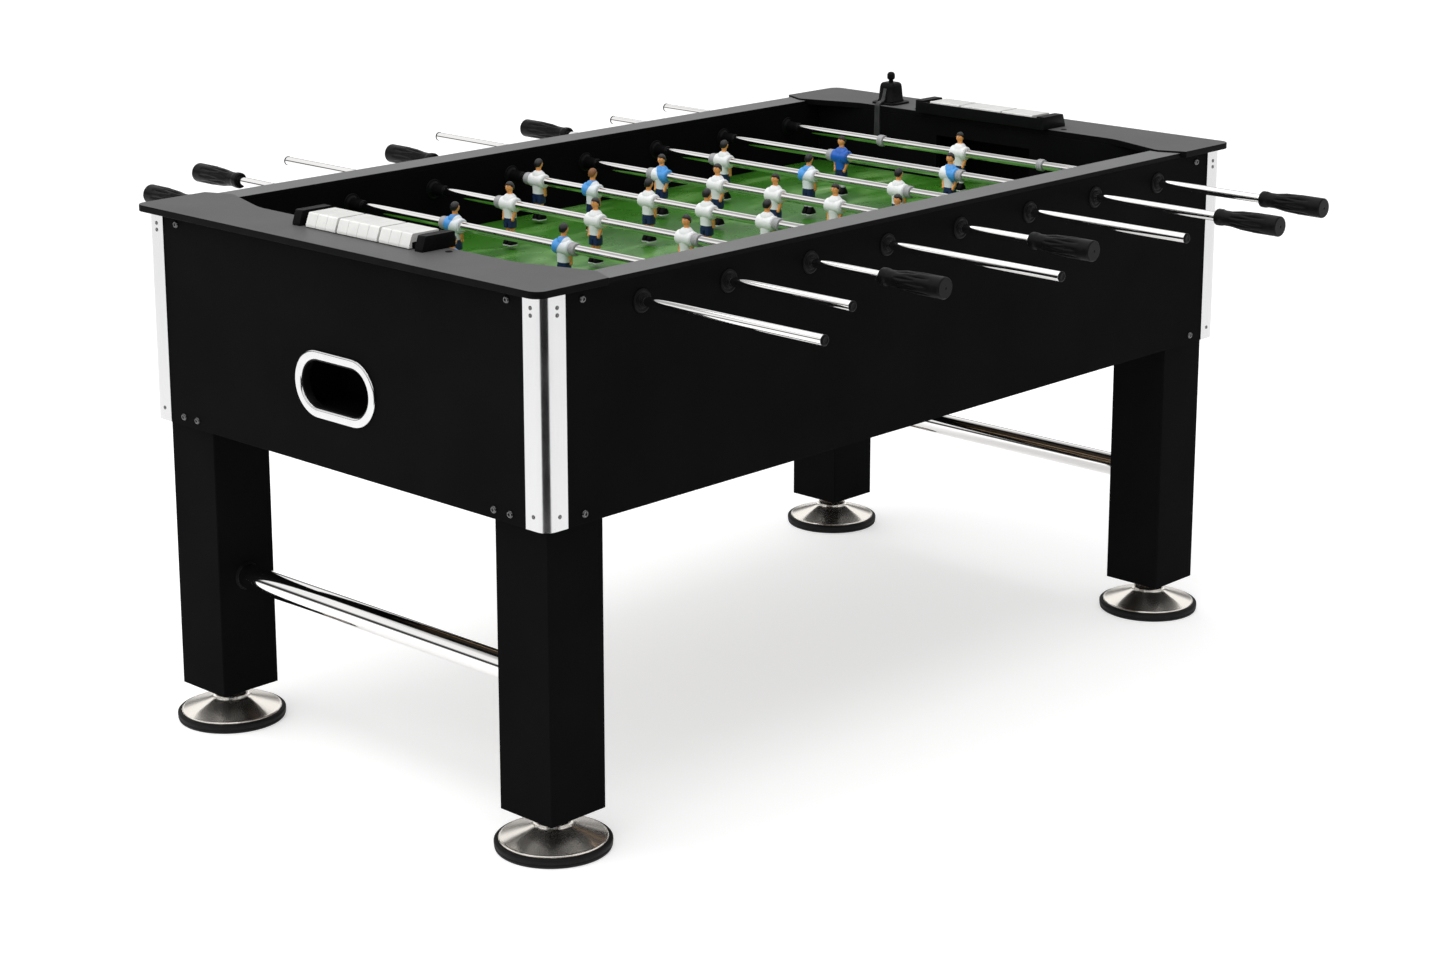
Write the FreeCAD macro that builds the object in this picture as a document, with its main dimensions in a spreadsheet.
# Foosball table: black cabinet on four legs, eight playing rods, two scorers and levelling feet.
# Millimetres. X runs along the table, Y along the rods, Z up. The origin is on the floor under
# the middle of the table. "left" is -X, "right" is +X, "front" is -Y and "back" is +Y.
import FreeCAD, Part
import os
import Sketcher
from FreeCAD import Placement, Rotation, Vector

SIZES = {
    # cabinet
    "cabinet_length": 1520, "cabinet_width": 850, "panel_bottom": 474, "panel_top": 790,
    "panel_thick": 15, "panel_round": 22, "rail_width": 50, "rail_thick": 7,
    "wall_thick": 15, "goal_wall_at": 668, "goal_wall_thick": 12,
    "deck_thick": 10, "deck_over_end": 18, "deck_over_side": 8, "deck_flare": 36,
    "deck_flare_start": 278, "deck_flare_stop": 385, "deck_slant": 18, "deck_round": 18,
    "flare_round": 110, "tip_round": 4,
    "field_top": 686, "field_thick": 9, "slot_width": 56, "slot_half": 104,
    "goal_half": 102, "goal_height": 76, "slot_inset": 4, "support_width": 40,
    "support_height": 30, "support_pitch": 360, "block_length": 65, "block_width": 35,
    "block_joint": 2, "deck_tip": 7, "cut_margin": 1,
    # corner trims and fasteners
    "trim_reach": 38, "trim_thick": 1.5, "bolt_inset": 69, "bolt_step": 32, "bolt_edge": 13,
    "bolt_head": 5.5, "bolt_shank": 4, "bolt_depth": 45, "head_thick": 3, "screw_inset": 23,
    "screw_top": 17, "screw_step": 10, "screw_foot": 19, "screw_head": 3, "screw_shank": 1.6,
    "screw_depth": 12, "screw_thick": 1,
    # legs, cross bars and feet
    "leg_side": 102, "leg_bottom": 55, "leg_top": 650, "leg_round": 2, "bar_radius": 19,
    "bar_wall": 1.5, "bar_height": 236, "bar_seat": 30, "pad_radius": 82, "pad_thick": 13,
    "pad_bevel": 2, "pad_foot": 3, "dish_radius": 76, "dish_rim": 3, "dish_rise": 21,
    "boss_radius": 25, "boss_thick": 5, "stud_radius": 12, "stud_hold": 42, "stud_room": 10,
    "stud_play": 0.3,
    # ball return
    "return_height": 594, "return_straight": 38, "hole_radius": 38, "frame_radius": 49,
    "frame_inner": 35, "frame_thick": 4, "tray_bottom": 548, "tray_wall": 6, "tray_half": 112,
    "tray_depth": 90,
    # rods
    "rod_pitch": 166.6, "rod_height": 757, "rod_radius": 7, "rod_wall": 1.5, "rod_overall": 1416,
    "rod_play": 0.3, "sleeve_radius": 10, "flange_radius": 16.5, "flange_thick": 5,
    "flange_rim": 2, "flange_bevel": 3.5, "collar_flange": 16, "collar_rim": 2,
    "collar_radius": 9.6, "collar_cone": 5, "collar_bevel": 1, "collar_length": 30,
    "bumper_radius": 10, "bumper_length": 11.7, "bumper_gap": 0.3, "grip_length": 112,
    "grip_radius": 15.5, "grip_bevel": 2, "grip_end": 15, "grip_full": 60, "neck_start": 86,
    "neck_stop": 100, "neck_radius": 11.6, "lip_radius": 12.8, "plug_flange": 3,
    "plug_bevel": 1, "plug_lip": 0.5, "plug_depth": 15, "push_in_gap": 125, "stop_gap": 1,
    # figures
    "boss_half": 16, "shoulder_radius": 11.7, "chest_half": 11, "chest_low": 17,
    "chest_high": 15, "head_radius": 8.5, "head_height": 27, "throat_radius": 4.5,
    "leg_half": 8, "shin_half": 6,
    "foot_half": 10, "foot_top": 50, "foot_low": 65,
    # scorers and serving post
    "scorer_half": 140, "scorer_near": 656, "scorer_width": 60, "scorer_rail": 38,
    "scorer_wall": 4, "wall_high": 19, "counter_gap": 1, "rail_high": 7.5,
    "block_height": 21.8, "end_block": 16, "counter_count": 10, "counter_pitch": 21.5,
    "counter_width": 21.4, "group_gap": 4, "group_edge": 3, "counter_skirt": 6,
    "counter_lift": 1.2, "counter_top": 21.3, "counter_roof": 12, "counter_rod": 2.4,
    "wire_height": 14.5, "post_at_x": 703, "post_at_y": 236,
    "post_base": 52, "post_cap": 36, "post_foot": 4, "post_height": 38, "post_stem": 4,
    "knob_radius": 7, "knob_lift": 4, "post_strap": 12, "strap_thick": 3, "strap_drop": 62,
    "strap_joint": 2,
}

# Handle side (+1 back, -1 front), figures on the rod, and how far the handle stands out at rest.
RODS = [(1, 1, 241), (1, 2, 340), (-1, 3, 245), (1, 5, 251),
        (-1, 5, 245), (1, 3, 276), (-1, 2, 340), (-1, 1, 310)]
FIGURE_SPACING = {1: 0, 2: 235, 3: 190, 5: 125}
ROD_TRAVEL = {1: 330, 2: 396, 3: 252, 5: 132}

doc = FreeCAD.newDocument("foosball_table")
sheet = doc.addObject("Spreadsheet::Sheet", "Sizes")
for row, (alias, number) in enumerate(SIZES.items(), start=1):
    sheet.set(f"A{row}", alias)
    sheet.set(f"B{row}", str(number))
    sheet.setAlias(f"B{row}", alias)
doc.recompute()


class Size:
    """A length that keeps both its value and the sheet expression it comes from."""

    def __init__(self, value, text):
        self.value = value
        self.text = text

    def _with(self, other, sign, value):
        return Size(value, f"({self.text} {sign} {other.text})")

    def __add__(self, other):
        other = as_size(other)
        return self._with(other, "+", self.value + other.value)

    def __sub__(self, other):
        other = as_size(other)
        return self._with(other, "-", self.value - other.value)

    def __mul__(self, other):
        other = as_size(other)
        return self._with(other, "*", self.value * other.value)

    def __truediv__(self, other):
        other = as_size(other)
        return self._with(other, "/", self.value / other.value)

    def __radd__(self, other):
        return as_size(other) + self

    def __rsub__(self, other):
        return as_size(other) - self

    def __neg__(self):
        return as_size(0) - self


def as_size(item):
    return item if isinstance(item, Size) else Size(float(item), f"({float(item)})")


def sized(alias):
    return Size(float(sheet.get(alias)), f"Sizes.{alias}")


s = type("Sheet", (), {alias: sized(alias) for alias in SIZES})
HALF_LENGTH = s.cabinet_length / 2
HALF_WIDTH = s.cabinet_width / 2
FIELD_HALF = HALF_WIDTH - s.rail_width
LEG_OUT_X = HALF_LENGTH - s.panel_thick
LEG_OUT_Y = HALF_WIDTH - s.panel_thick
LEG_X = LEG_OUT_X - s.leg_side / 2
LEG_Y = LEG_OUT_Y - s.leg_side / 2
COLLAR_FACE = FIELD_HALF - s.collar_length
MARGIN = s.cut_margin    # how far a cutting piece runs past the faces that it opens


# ---- building blocks -------------------------------------------------------------------------

def bind(obj, **sizes):
    for prop, size in sizes.items():
        obj.setExpression(prop, as_size(size).text)


def move(obj, at, direction=None):
    """Places an object; its position stays bound to the sheet."""
    turn = Rotation(Vector(0, 0, 1), direction) if direction else Rotation()
    point = [as_size(item) for item in at]
    obj.Placement = Placement(Vector(*[item.value for item in point]), turn)
    for axis, item in zip("xyz", point):
        obj.setExpression(f"Placement.Base.{axis}", item.text)
    return obj


def box(name, low, high):
    obj = doc.addObject("Part::Box", name)
    bind(obj, Length=high[0] - low[0], Width=high[1] - low[1], Height=high[2] - low[2])
    return move(obj, low)


def cylinder(name, radius, height, at, direction=None):
    obj = doc.addObject("Part::Cylinder", name)
    bind(obj, Radius=radius, Height=height)
    return move(obj, at, direction)


def sphere(name, radius, at):
    obj = doc.addObject("Part::Sphere", name)
    bind(obj, Radius=radius)
    return move(obj, at)


def group(name, members):
    obj = doc.addObject("Part::Compound", name)
    obj.Links = members
    return obj


def fuse(name, members):
    obj = doc.addObject("Part::MultiFuse", name)
    obj.Shapes = members
    obj.Refine = True
    return obj


def cut(name, base, tool):
    obj = doc.addObject("Part::Cut", name)
    obj.Base = base
    obj.Tool = tool
    return obj


def common(name, base, tool):
    obj = doc.addObject("Part::Common", name)
    obj.Base = base
    obj.Tool = tool
    return obj


def mirror(name, source, normal):
    obj = doc.addObject("Part::Mirroring", name)
    obj.Source = source
    obj.Normal = normal
    return obj


def four_ways(name, source):
    """The piece at the left front corner, and its mirror images at the other three."""
    across = mirror(name + "_across", source, Vector(0, 1, 0))
    front_back = group(name + "_pair", [source, across])
    return group(name, [front_back, mirror(name + "_far", front_back, Vector(1, 0, 0))])


def both_ends(name, source, normal=Vector(1, 0, 0)):
    return group(name, [source, mirror(name + "_other", source, normal)])


def upright_edges(shape, corners):
    """Indices of the vertical edges that stand over the given (x, y) corners."""
    found = []
    for index, edge in enumerate(shape.Edges, start=1):
        start, stop = edge.Vertexes[0].Point, edge.Vertexes[-1].Point
        if abs(start.z - stop.z) < 1:
            continue
        for x, y in corners:
            if abs(start.x - x) < 0.01 and abs(start.y - y) < 0.01:
                found.append(index)
    return found


def rounded_block(name, low, high, corners, radius):
    """A block with some of its vertical edges rounded."""
    block = box(name + "_block", low, high)
    doc.recompute()
    obj = doc.addObject("Part::Fillet", name)
    obj.Base = block
    places = [(as_size(x).value, as_size(y).value) for x, y in corners]
    obj.Edges = [(index, radius.value, radius.value)
                 for index in upright_edges(block.Shape, places)]
    return obj


def origin_feature(body, role):
    return next(item for item in body.Origin.OriginFeatures if item.Role == role)


def profile(body, plane, points):
    """A closed sketch through the points, each held by two distances bound to the sheet."""
    sketch = body.newObject("Sketcher::SketchObject", body.Name + "_sketch")
    sketch.AttachmentSupport = (origin_feature(body, plane), [""])
    sketch.MapMode = "FlatFace"
    corners = [(as_size(x), as_size(y)) for x, y in points]
    spots = [Vector(x.value, y.value, 0) for x, y in corners]
    for start, stop in zip(spots, spots[1:] + spots[:1]):
        sketch.addGeometry(Part.LineSegment(start, stop))
    for index in range(len(spots)):
        following = (index + 1) % len(spots)
        sketch.addConstraint(Sketcher.Constraint("Coincident", index, 2, following, 1))
    for index, (x, y) in enumerate(corners):
        for kind, size in (("DistanceX", x), ("DistanceY", y)):
            held = Sketcher.Constraint(kind, -1, 1, index, 1, size.value)
            number = sketch.addConstraint(held)
            sketch.setExpression(f"Constraints[{number}]", size.text)
    return sketch


def plate(name, points, base, thick):
    """A flat plate cut to an outline, standing on the height given by base."""
    body = doc.addObject("PartDesign::Body", name)
    pad = body.newObject("PartDesign::Pad", name + "_pad")
    pad.Profile = profile(body, "XY_Plane", points)
    bind(pad, Length=thick)
    move(body, (0, 0, base))
    doc.recompute()
    return body, pad


def round_corners(body, pad, corners, radius):
    """Rounds a plate's vertical edges over the corners, on top of its last feature."""
    places = [(as_size(x).value, as_size(y).value) for x, y in corners]
    names = [f"Edge{index}" for index in upright_edges(pad.Shape, places)]
    fillet = body.newObject("PartDesign::Fillet", pad.Name + "_round")
    fillet.Base = (pad, names)
    bind(fillet, Radius=radius)
    doc.recompute()
    return fillet


def turned(name, points):
    """A piece turned about its own Z axis, from (radius, height) points."""
    body = doc.addObject("PartDesign::Body", name)
    spin = body.newObject("PartDesign::Revolution", name + "_turn")
    spin.Profile = profile(body, "XZ_Plane", points)
    spin.ReferenceAxis = (origin_feature(body, "Z_Axis"), [""])
    spin.Angle = 360
    doc.recompute()
    return body


def copies(name, source, placements):
    """Identical separate solids of one piece, each at its own place."""
    shape = source.Shape.copy()
    shape.Placement = Placement()
    placed = []
    for placement in placements:
        placed.append(shape.transformed(placement.toMatrix(), copy=True))
    obj = doc.addObject("Part::Feature", name)
    obj.Shape = Part.makeCompound(placed)
    return obj


def stadium(name, straight, radius, near, far):
    """A slot shape with round ends, lying along Y and standing through the YZ plane."""
    along = Vector(1, 0, 0)
    height = s.return_height
    middle = box(name + "_middle", (near, -straight, height - radius),
                 (far, straight, height + radius))
    ends = [cylinder(f"{name}_end_{side}", radius, far - near, (near, straight * side, height), along)
            for side in (-1, 1)]
    return fuse(name, [middle] + ends)


# ---- rods' layout ----------------------------------------------------------------------------

def rod_x(index):
    return s.rod_pitch * (index - 3.5)


def figure_centre(side, count, reach):
    """Y of the middle of the rod's figures at rest."""
    return (reach - s.push_in_gap - ROD_TRAVEL[count] / 2) * side


def figure_places(side, count, reach):
    centre = figure_centre(side, count, reach)
    return [centre + FIGURE_SPACING[count] * (index - (count - 1) / 2) for index in range(count)]


def rod_bores(name, near, far):
    """Cylinders where the rod bearings pass through a front panel or wall."""
    return group(name, [cylinder(f"{name}_{index}", s.sleeve_radius, far - near,
                                 (rod_x(index), near, s.rod_height), Vector(0, 1, 0))
                        for index in range(len(RODS))])


# ---- cabinet ---------------------------------------------------------------------------------

def build_fasteners():
    """Panel bolts and trim screws of the left front corner, and the bores they sit in."""
    face_x, face_y = -HALF_LENGTH, -HALF_WIDTH
    out = s.trim_thick
    top, bottom = s.panel_top - s.bolt_edge, s.panel_bottom + s.bolt_edge
    heads, shanks = [], []

    def fastener(name, on_end, inset, height, head, shank, depth, thick, lift):
        direction = Vector(1, 0, 0) if on_end else Vector(0, 1, 0)
        start = (face_x - lift, face_y + inset, height) if on_end else (
            face_x + inset, face_y - lift, height)
        under = (start[0] - thick, start[1], start[2]) if on_end else (
            start[0], start[1] - thick, start[2])
        cap = cylinder(name + "_head", head, thick, under, direction)
        pin = cylinder(name + "_pin", shank, depth, start, direction)
        heads.append(fuse(name, [cap, pin]))
        shanks.append(cylinder(name + "_bore", shank, depth, start, direction))

    for on_end in (True, False):
        side = "end" if on_end else "side"
        spots = [(s.bolt_inset, top), (s.bolt_inset, bottom)]
        if on_end:
            spots.append((s.bolt_inset + s.bolt_step, bottom))
        for number, (inset, height) in enumerate(spots):
            fastener(f"bolt_{side}_{number}", on_end, inset, height, s.bolt_head,
                     s.bolt_shank, s.bolt_depth, s.head_thick, as_size(0))
        first = s.panel_top - s.screw_top
        for number, height in enumerate((first, first - s.screw_step, s.panel_bottom + s.screw_foot)):
            fastener(f"screw_{side}_{number}", on_end, s.screw_inset, height, s.screw_head,
                     s.screw_shank, s.screw_depth, s.screw_thick, out)
    four_ways("cabinet_fasteners", group("corner_fasteners", heads))
    return four_ways("fastener_bores", group("corner_bores", shanks))


def build_panels(bores):
    """The four boards, rounded together at the cabinet's corners."""
    low = (-HALF_LENGTH, -HALF_WIDTH, s.panel_bottom)
    corners = [(x, y) for x in (-HALF_LENGTH, HALF_LENGTH) for y in (-HALF_WIDTH, HALF_WIDTH)]
    envelope = rounded_block("cabinet_envelope", low, (HALF_LENGTH, HALF_WIDTH, s.panel_top),
                             corners, s.panel_round)
    blank = box("front_board_blank", low, (HALF_LENGTH, -HALF_WIDTH + s.panel_thick, s.panel_top))
    board = common("front_board", blank, envelope)
    holes = rod_bores("panel_bores", -HALF_WIDTH, -HALF_WIDTH + s.panel_thick)
    drilled = cut("front_board_drilled", board, holes)
    front = cut("side_panel_front", drilled, bores)
    mirror("side_panel_back", front, Vector(0, 1, 0))

    end_blank = box("end_board_blank", (-HALF_LENGTH, -LEG_OUT_Y, s.panel_bottom),
                    (-LEG_OUT_X, LEG_OUT_Y, s.panel_top))
    end_board = common("end_board", end_blank, envelope)
    mouth = stadium("return_mouth", s.return_straight, s.hole_radius, -HALF_LENGTH - MARGIN,
                    -LEG_OUT_X + MARGIN)
    pierced = cut("end_board_pierced", end_board, mouth)
    left = cut("end_panel_left", pierced, bores)
    mirror("end_panel_right", left, Vector(1, 0, 0))


def build_walls():
    """The walls of the playing field, the boards that hold them up, and the field itself."""
    wall = box("field_wall_board", (-s.goal_wall_at, -FIELD_HALF - s.wall_thick, s.field_top),
               (s.goal_wall_at, -FIELD_HALF, s.panel_top))
    holes = rod_bores("wall_bores", -FIELD_HALF - s.wall_thick, -FIELD_HALF)
    both_ends("field_walls", cut("field_wall", wall, holes), Vector(0, 1, 0))

    back = -s.goal_wall_at - s.goal_wall_thick
    goal_board = box("goal_board", (back, -FIELD_HALF, s.field_top),
                     (-s.goal_wall_at, FIELD_HALF, s.panel_top))
    goal_mouth = box("goal_mouth", (back - MARGIN, -s.goal_half, s.field_top - MARGIN),
                     (-s.goal_wall_at + MARGIN, s.goal_half, s.field_top + s.goal_height))
    both_ends("goal_walls", cut("goal_wall", goal_board, goal_mouth))

    under = s.field_top - s.field_thick
    board = box("field_board", (-LEG_OUT_X, -LEG_OUT_Y, under), (LEG_OUT_X, LEG_OUT_Y, s.field_top))
    slot_start = -LEG_OUT_X + s.slot_inset
    slot = box("drop_slot", (slot_start, -s.slot_half, under - MARGIN),
               (slot_start + s.slot_width, s.slot_half, s.field_top + MARGIN))
    cut("playfield", board, both_ends("drop_slots", slot))

    battens = []
    for number, place in enumerate((-s.support_pitch, as_size(0), s.support_pitch)):
        battens.append(box(f"batten_{number}",
                           (place - s.support_width / 2, -LEG_OUT_Y, under - s.support_height),
                           (place + s.support_width / 2, LEG_OUT_Y, under)))
    group("field_supports", battens)


def build_blocks(bores):
    """Glue blocks behind the field's corners, which the upper panel bolts screw into."""
    base, top = s.field_top, s.panel_top
    inner = -s.goal_wall_at - s.goal_wall_thick
    side_block = box("side_block", (-LEG_OUT_X, -LEG_OUT_Y, base),
                     (-LEG_OUT_X + s.block_length, -FIELD_HALF - s.wall_thick, top))
    end_block = box("end_block_wood", (-LEG_OUT_X, -FIELD_HALF - s.block_joint, base),
                    (inner, -FIELD_HALF + s.block_width, top))
    pair = group("block_pair", [side_block, end_block])
    four_ways("corner_blocks", cut("corner_block", pair, bores))


def build_trims(bores):
    near_x, near_y = -HALF_LENGTH - s.trim_thick, -HALF_WIDTH - s.trim_thick
    stop_x, stop_y = -HALF_LENGTH + s.trim_reach, -HALF_WIDTH + s.trim_reach
    skin = rounded_block("trim_skin", (near_x, near_y, s.panel_bottom), (stop_x, stop_y, s.panel_top),
                         [(near_x, near_y)], s.panel_round + s.trim_thick)
    core = rounded_block("trim_core", (-HALF_LENGTH, -HALF_WIDTH, s.panel_bottom - MARGIN),
                         (stop_x + MARGIN, stop_y + MARGIN, s.panel_top + MARGIN),
                         [(-HALF_LENGTH, -HALF_WIDTH)], s.panel_round)
    four_ways("corner_trims", cut("trim_drilled", cut("trim_angle", skin, core), bores))


def build_tops():
    """The end decks, and the side rails that run between them."""
    out_x, out_y = HALF_LENGTH + s.deck_over_end, HALF_WIDTH + s.deck_over_side
    tip_x, tip_y = s.goal_wall_at - s.deck_flare, s.deck_flare_stop + s.deck_tip
    root_x = tip_x + s.deck_slant
    half = [(-root_x, -out_y), (-tip_x, -tip_y), (-tip_x, -s.deck_flare_stop),
            (-s.goal_wall_at, -s.deck_flare_start)]
    points = [(-out_x, -out_y)] + half + [(x, -y) for x, y in reversed(half)] + [(-out_x, out_y)]
    left, pad = plate("end_deck_left", points, s.panel_top, s.deck_thick)
    outer = [(-out_x, -out_y), (-out_x, out_y)]
    bends = [(-tip_x, -s.deck_flare_stop), (-tip_x, s.deck_flare_stop),
             (-s.goal_wall_at, -s.deck_flare_start), (-s.goal_wall_at, s.deck_flare_start)]
    rounded = round_corners(left, pad, outer, s.deck_round)
    rounded = round_corners(left, rounded, bends[2:], s.flare_round)
    round_corners(left, rounded, bends[:2], s.tip_round)
    mirror("end_deck_right", left, Vector(1, 0, 0))

    # Where the slanted end of the deck crosses the rail's outer edge.
    edge_x = tip_x + s.deck_slant * (HALF_WIDTH - tip_y) / (out_y - tip_y)
    rail_points = [(-edge_x, -HALF_WIDTH), (edge_x, -HALF_WIDTH), (tip_x, -tip_y),
                   (tip_x, -FIELD_HALF), (-tip_x, -FIELD_HALF), (-tip_x, -tip_y)]
    rail, _ = plate("side_rail", rail_points, s.panel_top, s.rail_thick)
    both_ends("side_rails", rail, Vector(0, 1, 0))


def build_ball_return():
    outside = -HALF_LENGTH - s.frame_thick
    flange = stadium("frame_flange", s.return_straight, s.frame_radius, outside, -HALF_LENGTH)
    sleeve = stadium("frame_sleeve", s.return_straight, s.hole_radius, -HALF_LENGTH, -LEG_OUT_X)
    window = stadium("frame_window", s.return_straight, s.frame_inner, outside - MARGIN,
                     -LEG_OUT_X + MARGIN)
    ring = cut("return_frame", fuse("frame_solid", [flange, sleeve]), window)
    both_ends("ball_return_frames", ring)

    top = s.field_top - s.field_thick
    inside = -LEG_OUT_X + s.tray_depth
    shell = box("tray_shell", (-LEG_OUT_X, -s.tray_half, s.tray_bottom), (inside, s.tray_half, top))
    hollow = box("tray_hollow", (-LEG_OUT_X - MARGIN, -s.tray_half + s.tray_wall,
                                  s.tray_bottom + s.tray_wall),
                 (inside - s.tray_wall, s.tray_half - s.tray_wall, top + MARGIN))
    both_ends("ball_trays", cut("ball_tray", shell, hollow))


# ---- legs, cross bars and feet ---------------------------------------------------------------

def build_legs(bores):
    low = (-LEG_OUT_X, -LEG_OUT_Y, s.leg_bottom)
    high = (-LEG_OUT_X + s.leg_side, -LEG_OUT_Y + s.leg_side, s.leg_top)
    corners = [(x, y) for x in (low[0], high[0]) for y in (low[1], high[1])]
    post = rounded_block("leg_post", low, high, corners, s.leg_round)
    inner_y = -LEG_OUT_Y + s.leg_side
    seat = cylinder("bar_seat_bore", s.bar_radius, s.bar_seat + MARGIN,
                    (-LEG_X, inner_y - s.bar_seat, s.bar_height), Vector(0, 1, 0))
    stud = cylinder("stud_bore", s.stud_radius + s.stud_play, s.stud_hold + s.stud_room,
                    (-LEG_X, -LEG_Y, s.leg_bottom), Vector(0, 0, 1))
    drilled = cut("leg_drilled", post, group("leg_bores", [seat, stud]))
    four_ways("legs", cut("leg", drilled, bores))

    bar_end = inner_y - s.bar_seat
    solid = cylinder("bar_solid", s.bar_radius, -bar_end * 2, (-LEG_X, bar_end, s.bar_height),
                     Vector(0, 1, 0))
    inside = cylinder("bar_inside", s.bar_radius - s.bar_wall, -bar_end * 2 + MARGIN * 2,
                      (-LEG_X, bar_end - MARGIN, s.bar_height), Vector(0, 1, 0))
    both_ends("cross_bars", cut("cross_bar", solid, inside))


def build_feet():
    """Levelling feet: a rubber pad, and a dished plate with the stud that enters the leg."""
    dish_top = s.pad_thick + s.dish_rise
    boss_top = dish_top + s.boss_thick
    flat = s.pad_radius - s.pad_bevel
    pad = turned("foot_pad", [(0, 0), (flat, 0), (s.pad_radius, s.pad_foot),
                              (s.pad_radius, s.pad_thick - s.pad_bevel), (flat, s.pad_thick),
                              (0, s.pad_thick)])
    dish = turned("foot_dish", [(0, s.pad_thick), (s.dish_radius, s.pad_thick),
                                (s.dish_radius, s.pad_thick + s.dish_rim),
                                (s.boss_radius, dish_top),
                                (s.boss_radius, boss_top), (s.stud_radius, boss_top),
                                (s.stud_radius, s.leg_bottom + s.stud_hold),
                                (0, s.leg_bottom + s.stud_hold)])
    for end, x in (("left", -LEG_X), ("right", LEG_X)):
        for side, y in (("front", -LEG_Y), ("back", LEG_Y)):
            name = f"foot_{end}_{side}"
            spot = [Placement(Vector(x.value, y.value, 0), Rotation())]
            group(name, [copies(name + "_pad", pad, spot), copies(name + "_dish", dish, spot)])


# ---- bearings and rods -----------------------------------------------------------------------

def bearing_spots(distance):
    """Places on the front and the back wall, with the piece's Z axis pointing outwards."""
    spots = []
    for side in (-1, 1):
        turn = Rotation(Vector(0, 0, 1), Vector(0, side, 0))
        for index in range(len(RODS)):
            at = Vector(rod_x(index).value, side * distance.value, s.rod_height.value)
            spots.append(Placement(at, turn))
    return spots


def build_bearings():
    bore = s.rod_radius + s.rod_play
    bush = turned("bearing_bush", [(bore, -s.rail_width), (s.sleeve_radius, -s.rail_width),
                                   (s.sleeve_radius, 0), (s.flange_radius, 0),
                                   (s.flange_radius, s.flange_rim),
                                   (s.flange_radius - s.flange_bevel, s.flange_thick),
                                   (bore, s.flange_thick)])
    copies("rod_bearings", bush, bearing_spots(HALF_WIDTH))
    collar = turned("bearing_collar", [(bore, 0), (s.collar_flange, 0),
                                       (s.collar_flange, -s.collar_rim),
                                       (s.collar_radius, -s.collar_cone),
                                       (s.collar_radius, s.collar_bevel - s.collar_length),
                                       (s.collar_radius - s.collar_bevel, -s.collar_length),
                                       (bore, -s.collar_length)])
    copies("bearing_collars", collar, bearing_spots(FIELD_HALF))


def build_figure():
    """One player, hung on the rod's axis at the origin, facing +X."""
    along = Vector(0, 1, 0)
    shoulders = cylinder("figure_shoulders", s.shoulder_radius, s.boss_half * 2,
                         (0, -s.boss_half, 0), along)
    chest = box("figure_chest", (-s.foot_half, -s.chest_half, -s.chest_low),
                (s.foot_half, s.chest_half, s.chest_high))
    neck = cylinder("figure_neck", s.throat_radius, s.head_height, (0, 0, 0))
    head = sphere("figure_head", s.head_radius, (0, 0, s.head_height))
    shins = box("figure_legs", (-s.shin_half, -s.leg_half, -s.foot_top),
                (s.shin_half, s.leg_half, -s.chest_low))
    shoes = box("figure_shoes", (-s.foot_half, -s.foot_half, -s.foot_low),
                (s.foot_half, s.foot_half, -s.foot_top))
    shape = fuse("figure_solid", [shoulders, chest, neck, head, shins, shoes])
    bore = cylinder("figure_bore", s.rod_radius, s.boss_half * 2 + MARGIN * 2,
                    (0, -s.boss_half - MARGIN, 0), along)
    figure = cut("figure", shape, bore)
    doc.recompute()
    return figure


def build_grip():
    """The handle, with its closed end at the origin and its neck towards -Z."""
    bore = s.rod_radius
    length = s.grip_length
    return turned("grip", [(0, 0), (s.grip_radius - s.grip_bevel, 0), (s.grip_radius, -s.grip_bevel),
                           (s.grip_radius, -s.grip_full), (s.neck_radius, -s.neck_start),
                           (s.neck_radius, -s.neck_stop), (s.lip_radius, -s.neck_stop - s.grip_bevel),
                           (s.lip_radius, -length), (bore, -length), (bore, -s.grip_end),
                           (0, -s.grip_end)])


def build_plug():
    """The cap in the rod's free end, with its flange's outer face at the origin."""
    bore = s.rod_radius - s.rod_wall
    edge = s.rod_radius + s.plug_lip
    return turned("plug", [(0, 0), (edge - s.plug_bevel, 0), (edge, -s.plug_bevel),
                           (edge, -s.plug_flange), (bore, -s.plug_flange),
                           (bore, -s.plug_flange - s.plug_depth),
                           (0, -s.plug_flange - s.plug_depth)])


def build_bumper():
    return turned("bumper", [(s.rod_radius + s.rod_play, 0), (s.bumper_radius, 0),
                             (s.bumper_radius, s.bumper_length),
                             (s.rod_radius + s.rod_play, s.bumper_length)])


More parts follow.
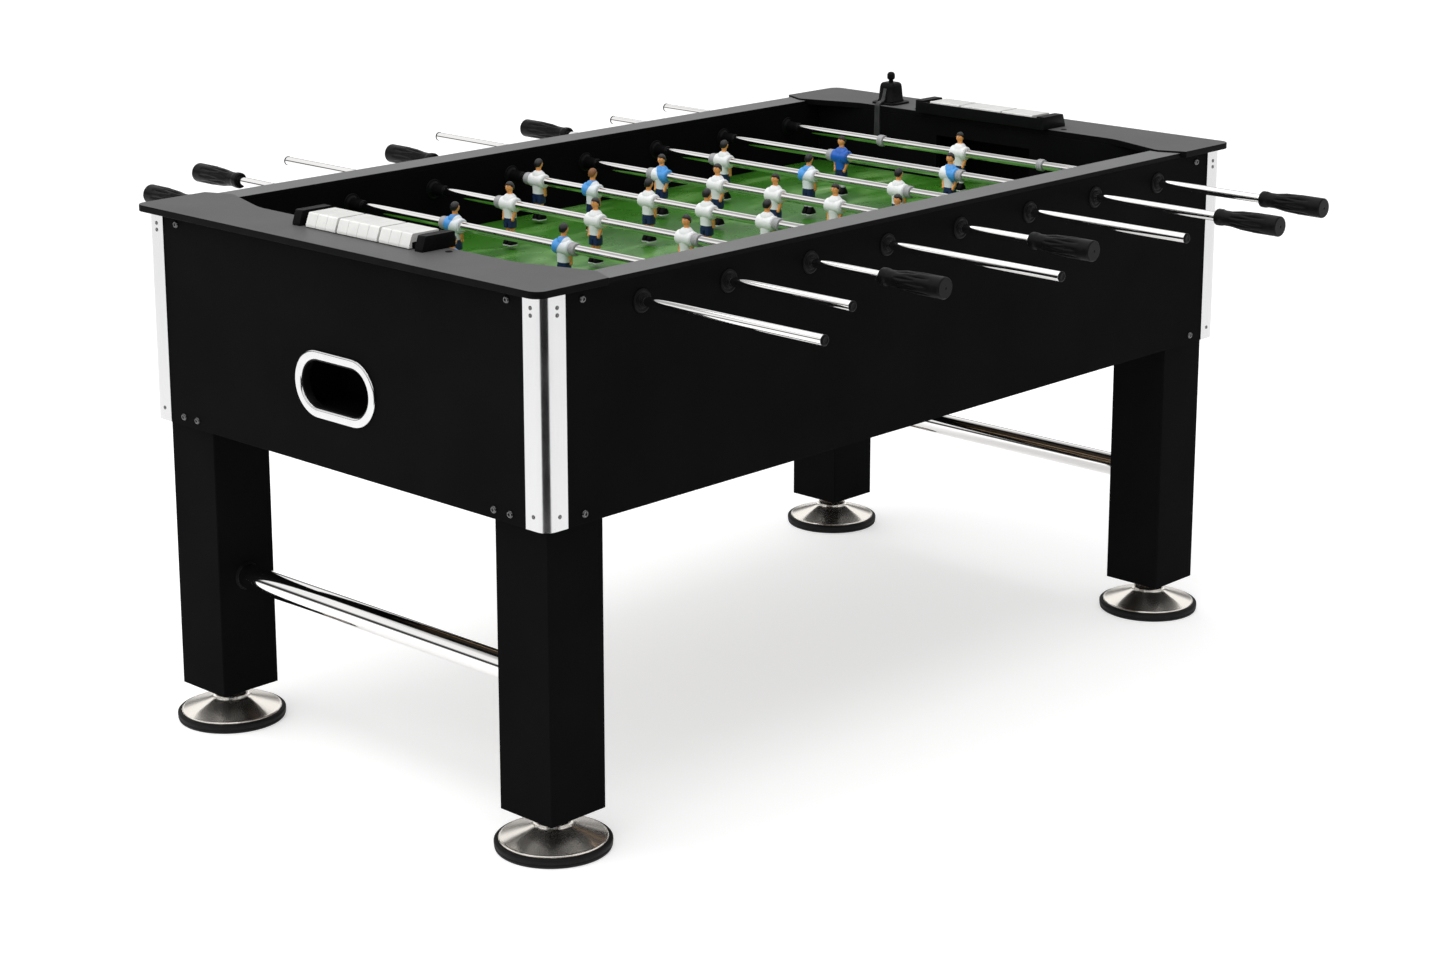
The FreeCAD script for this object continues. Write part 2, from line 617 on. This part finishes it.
def build_rods():
    figure, grip, plug, bumper = build_figure(), build_grip(), build_plug(), build_bumper()
    for index, (side, count, reach) in enumerate(RODS):
        name = f"rod_{index + 1}"
        x, height = rod_x(index), s.rod_height
        outward = Vector(0, side, 0)
        handle_end = (HALF_WIDTH + reach) * side
        tail_end = handle_end - s.rod_overall * side
        tube_start = tail_end + s.plug_flange * side
        tube_length = s.rod_overall - s.plug_flange - s.grip_end
        outside = cylinder(name + "_outside", s.rod_radius, tube_length, (x, tube_start, height), outward)
        inside = cylinder(name + "_inside", s.rod_radius - s.rod_wall, tube_length + MARGIN * 2,
                          (x, tube_start - MARGIN * side, height), outward)
        cut(name + "_tube", outside, inside)

        def at(y, direction):
            turn = Rotation(Vector(0, 0, 1), Vector(0, direction, 0))
            return Placement(Vector(x.value, y.value, height.value), turn)

        group(name + "_grip", [copies(name + "_handle", grip, [at(handle_end, side)]),
                               copies(name + "_plug", plug, [at(tail_end, -side)])])
        facing = Rotation(Vector(0, 0, 1), 0 if side > 0 else 180)
        places = figure_places(side, count, reach)
        copies(name + "_figures", figure,
               [Placement(Vector(x.value, y.value, height.value), facing) for y in places])
        stop = COLLAR_FACE - ROD_TRAVEL[count] / 2 - s.stop_gap - s.bumper_length
        beside = s.boss_half + s.bumper_gap + FIGURE_SPACING[count] * (count - 1) / 2
        offset = stop if count == 1 else beside
        middle = figure_centre(side, count, reach)
        copies(name + "_bumpers", bumper, [at(middle + offset, 1), at(middle - offset, -1)])


# ---- scorers and serving post ----------------------------------------------------------------

def build_scorers():
    """On each deck a rail, a low wall, two end blocks and a wire, and ten saddle-shaped counters."""
    deck = s.panel_top + s.deck_thick
    near, far = -s.scorer_near, -s.scorer_near - s.scorer_width
    inner = near - s.scorer_wall - s.counter_gap
    outer = far + s.counter_gap
    middle = (inner + outer) / 2
    rail = box("scorer_rail_bar", (middle - s.scorer_rail / 2, -s.scorer_half, deck),
               (middle + s.scorer_rail / 2, s.scorer_half, deck + s.rail_high))
    wall = box("scorer_low_wall", (near - s.scorer_wall, -s.scorer_half, deck),
               (near, s.scorer_half, deck + s.wall_high))
    low_block = box("scorer_block", (far, -s.scorer_half, deck),
                    (near, -s.scorer_half + s.end_block, deck + s.block_height))
    blocks = both_ends("scorer_blocks", low_block, Vector(0, 1, 0))
    wire = cylinder("scorer_wire", s.counter_rod, (s.scorer_half - MARGIN) * 2,
                    (middle, MARGIN - s.scorer_half, deck + s.wire_height), Vector(0, 1, 0))
    both_ends("scorer_bases", fuse("scorer_base", [rail, wall, blocks, wire]))

    side = s.counter_width / 2
    block = box("counter_block", (outer, -side, deck + s.counter_lift),
                (inner, side, deck + s.counter_top))
    channel = box("counter_channel", (outer + s.counter_skirt, -side - MARGIN, deck),
                  (inner - s.counter_skirt, side + MARGIN, deck + s.counter_top - s.counter_roof))
    bore = cylinder("counter_bore", s.counter_rod + s.rod_play, s.counter_width + MARGIN * 2,
                    (middle, -side - MARGIN, deck + s.wire_height), Vector(0, 1, 0))
    counter = cut("counter", block, group("counter_hollows", [channel, bore]))
    doc.recompute()
    count, edge = int(s.counter_count.value), int(s.group_edge.value)
    spots = []
    for number in range(count):
        shift = int(number >= count - edge) - int(number < edge)
        along = s.counter_pitch * (number - (count - 1) / 2) + s.group_gap * shift
        spots.append(Placement(Vector(0, along.value, 0), Rotation()))
    counters = copies("score_counters_left", counter, spots)
    mirror("score_counters_right", counters, Vector(1, 0, 0))


def build_post():
    """The serving post on the right deck, with a strap that hooks down the end wall."""
    deck = s.panel_top + s.deck_thick
    x, y = s.post_at_x, s.post_at_y
    base, half = s.post_base / 2, s.post_cap / 2
    strap = s.post_strap / 2
    hook = s.goal_wall_at - s.strap_thick
    foot = rounded_block("post_foot", (x - base, y - base, deck),
                         (x + base, y + base, deck + s.post_foot),
                         [(x + base * a, y + base * b) for a in (-1, 1) for b in (-1, 1)], s.tip_round)
    cap = box("post_cap_block", (x - half, y - half, deck + s.post_foot - MARGIN),
              (x + half, y + half, deck + s.post_height))
    bridge = box("post_bridge", (hook, y - strap, deck),
                 (x - base + s.strap_joint, y + strap, deck + s.post_foot))
    drop = box("post_strap_drop", (hook, y - strap, deck - s.strap_drop),
               (s.goal_wall_at, y + strap, deck + MARGIN))
    stem = cylinder("post_knob_stem", s.post_stem, MARGIN + s.knob_lift + s.knob_radius,
                    (x, y, deck + s.post_height - MARGIN))
    knob = sphere("post_knob", s.knob_radius,
                  (x, y, deck + s.post_height + s.knob_lift + s.knob_radius))
    fuse("serving_post", [foot, cap, bridge, drop, stem, knob])


# ---- assembly --------------------------------------------------------------------------------

def build_table():
    bores = build_fasteners()
    build_panels(bores)
    build_walls()
    build_blocks(bores)
    build_trims(bores)
    build_tops()
    build_ball_return()
    build_legs(bores)
    build_feet()
    build_bearings()
    build_rods()
    build_scorers()
    build_post()


NODES = ["side_panel_front", "side_panel_back", "end_panel_left", "end_panel_right",
         "field_walls", "goal_walls", "side_rails", "end_deck_left", "end_deck_right",
         "playfield", "field_supports", "corner_blocks", "corner_trims", "legs", "cross_bars",
         "rod_bearings", "bearing_collars", "ball_return_frames", "ball_trays",
         "cabinet_fasteners", "scorer_bases", "score_counters_left", "score_counters_right",
         "serving_post"]
NODES += [f"foot_{end}_{side}" for end in ("left", "right") for side in ("front", "back")]
NODES += [f"rod_{number}_{piece}" for number in range(1, len(RODS) + 1)
          for piece in ("tube", "figures", "grip", "bumpers")]


def check_and_export():
    doc.recompute()
    for obj in doc.Objects:
        if "Invalid" in obj.State or "Error" in obj.State:
            raise RuntimeError(f"{obj.Name} did not build: {obj.State}")
    os.makedirs("parts", exist_ok=True)
    for name in NODES:
        obj = doc.getObject(name)
        obj.Label = name
        shape = obj.Shape
        if shape.isNull() or not shape.isValid() or not shape.Solids:
            raise RuntimeError(f"{name} has no valid solid")
        shape.exportStep(os.path.join("parts", name + ".step"))
        print(f"{name:24s} {len(shape.Solids):3d} solids  {shape.Volume / 1000:10.1f} cm3")


build_table()
check_and_export()
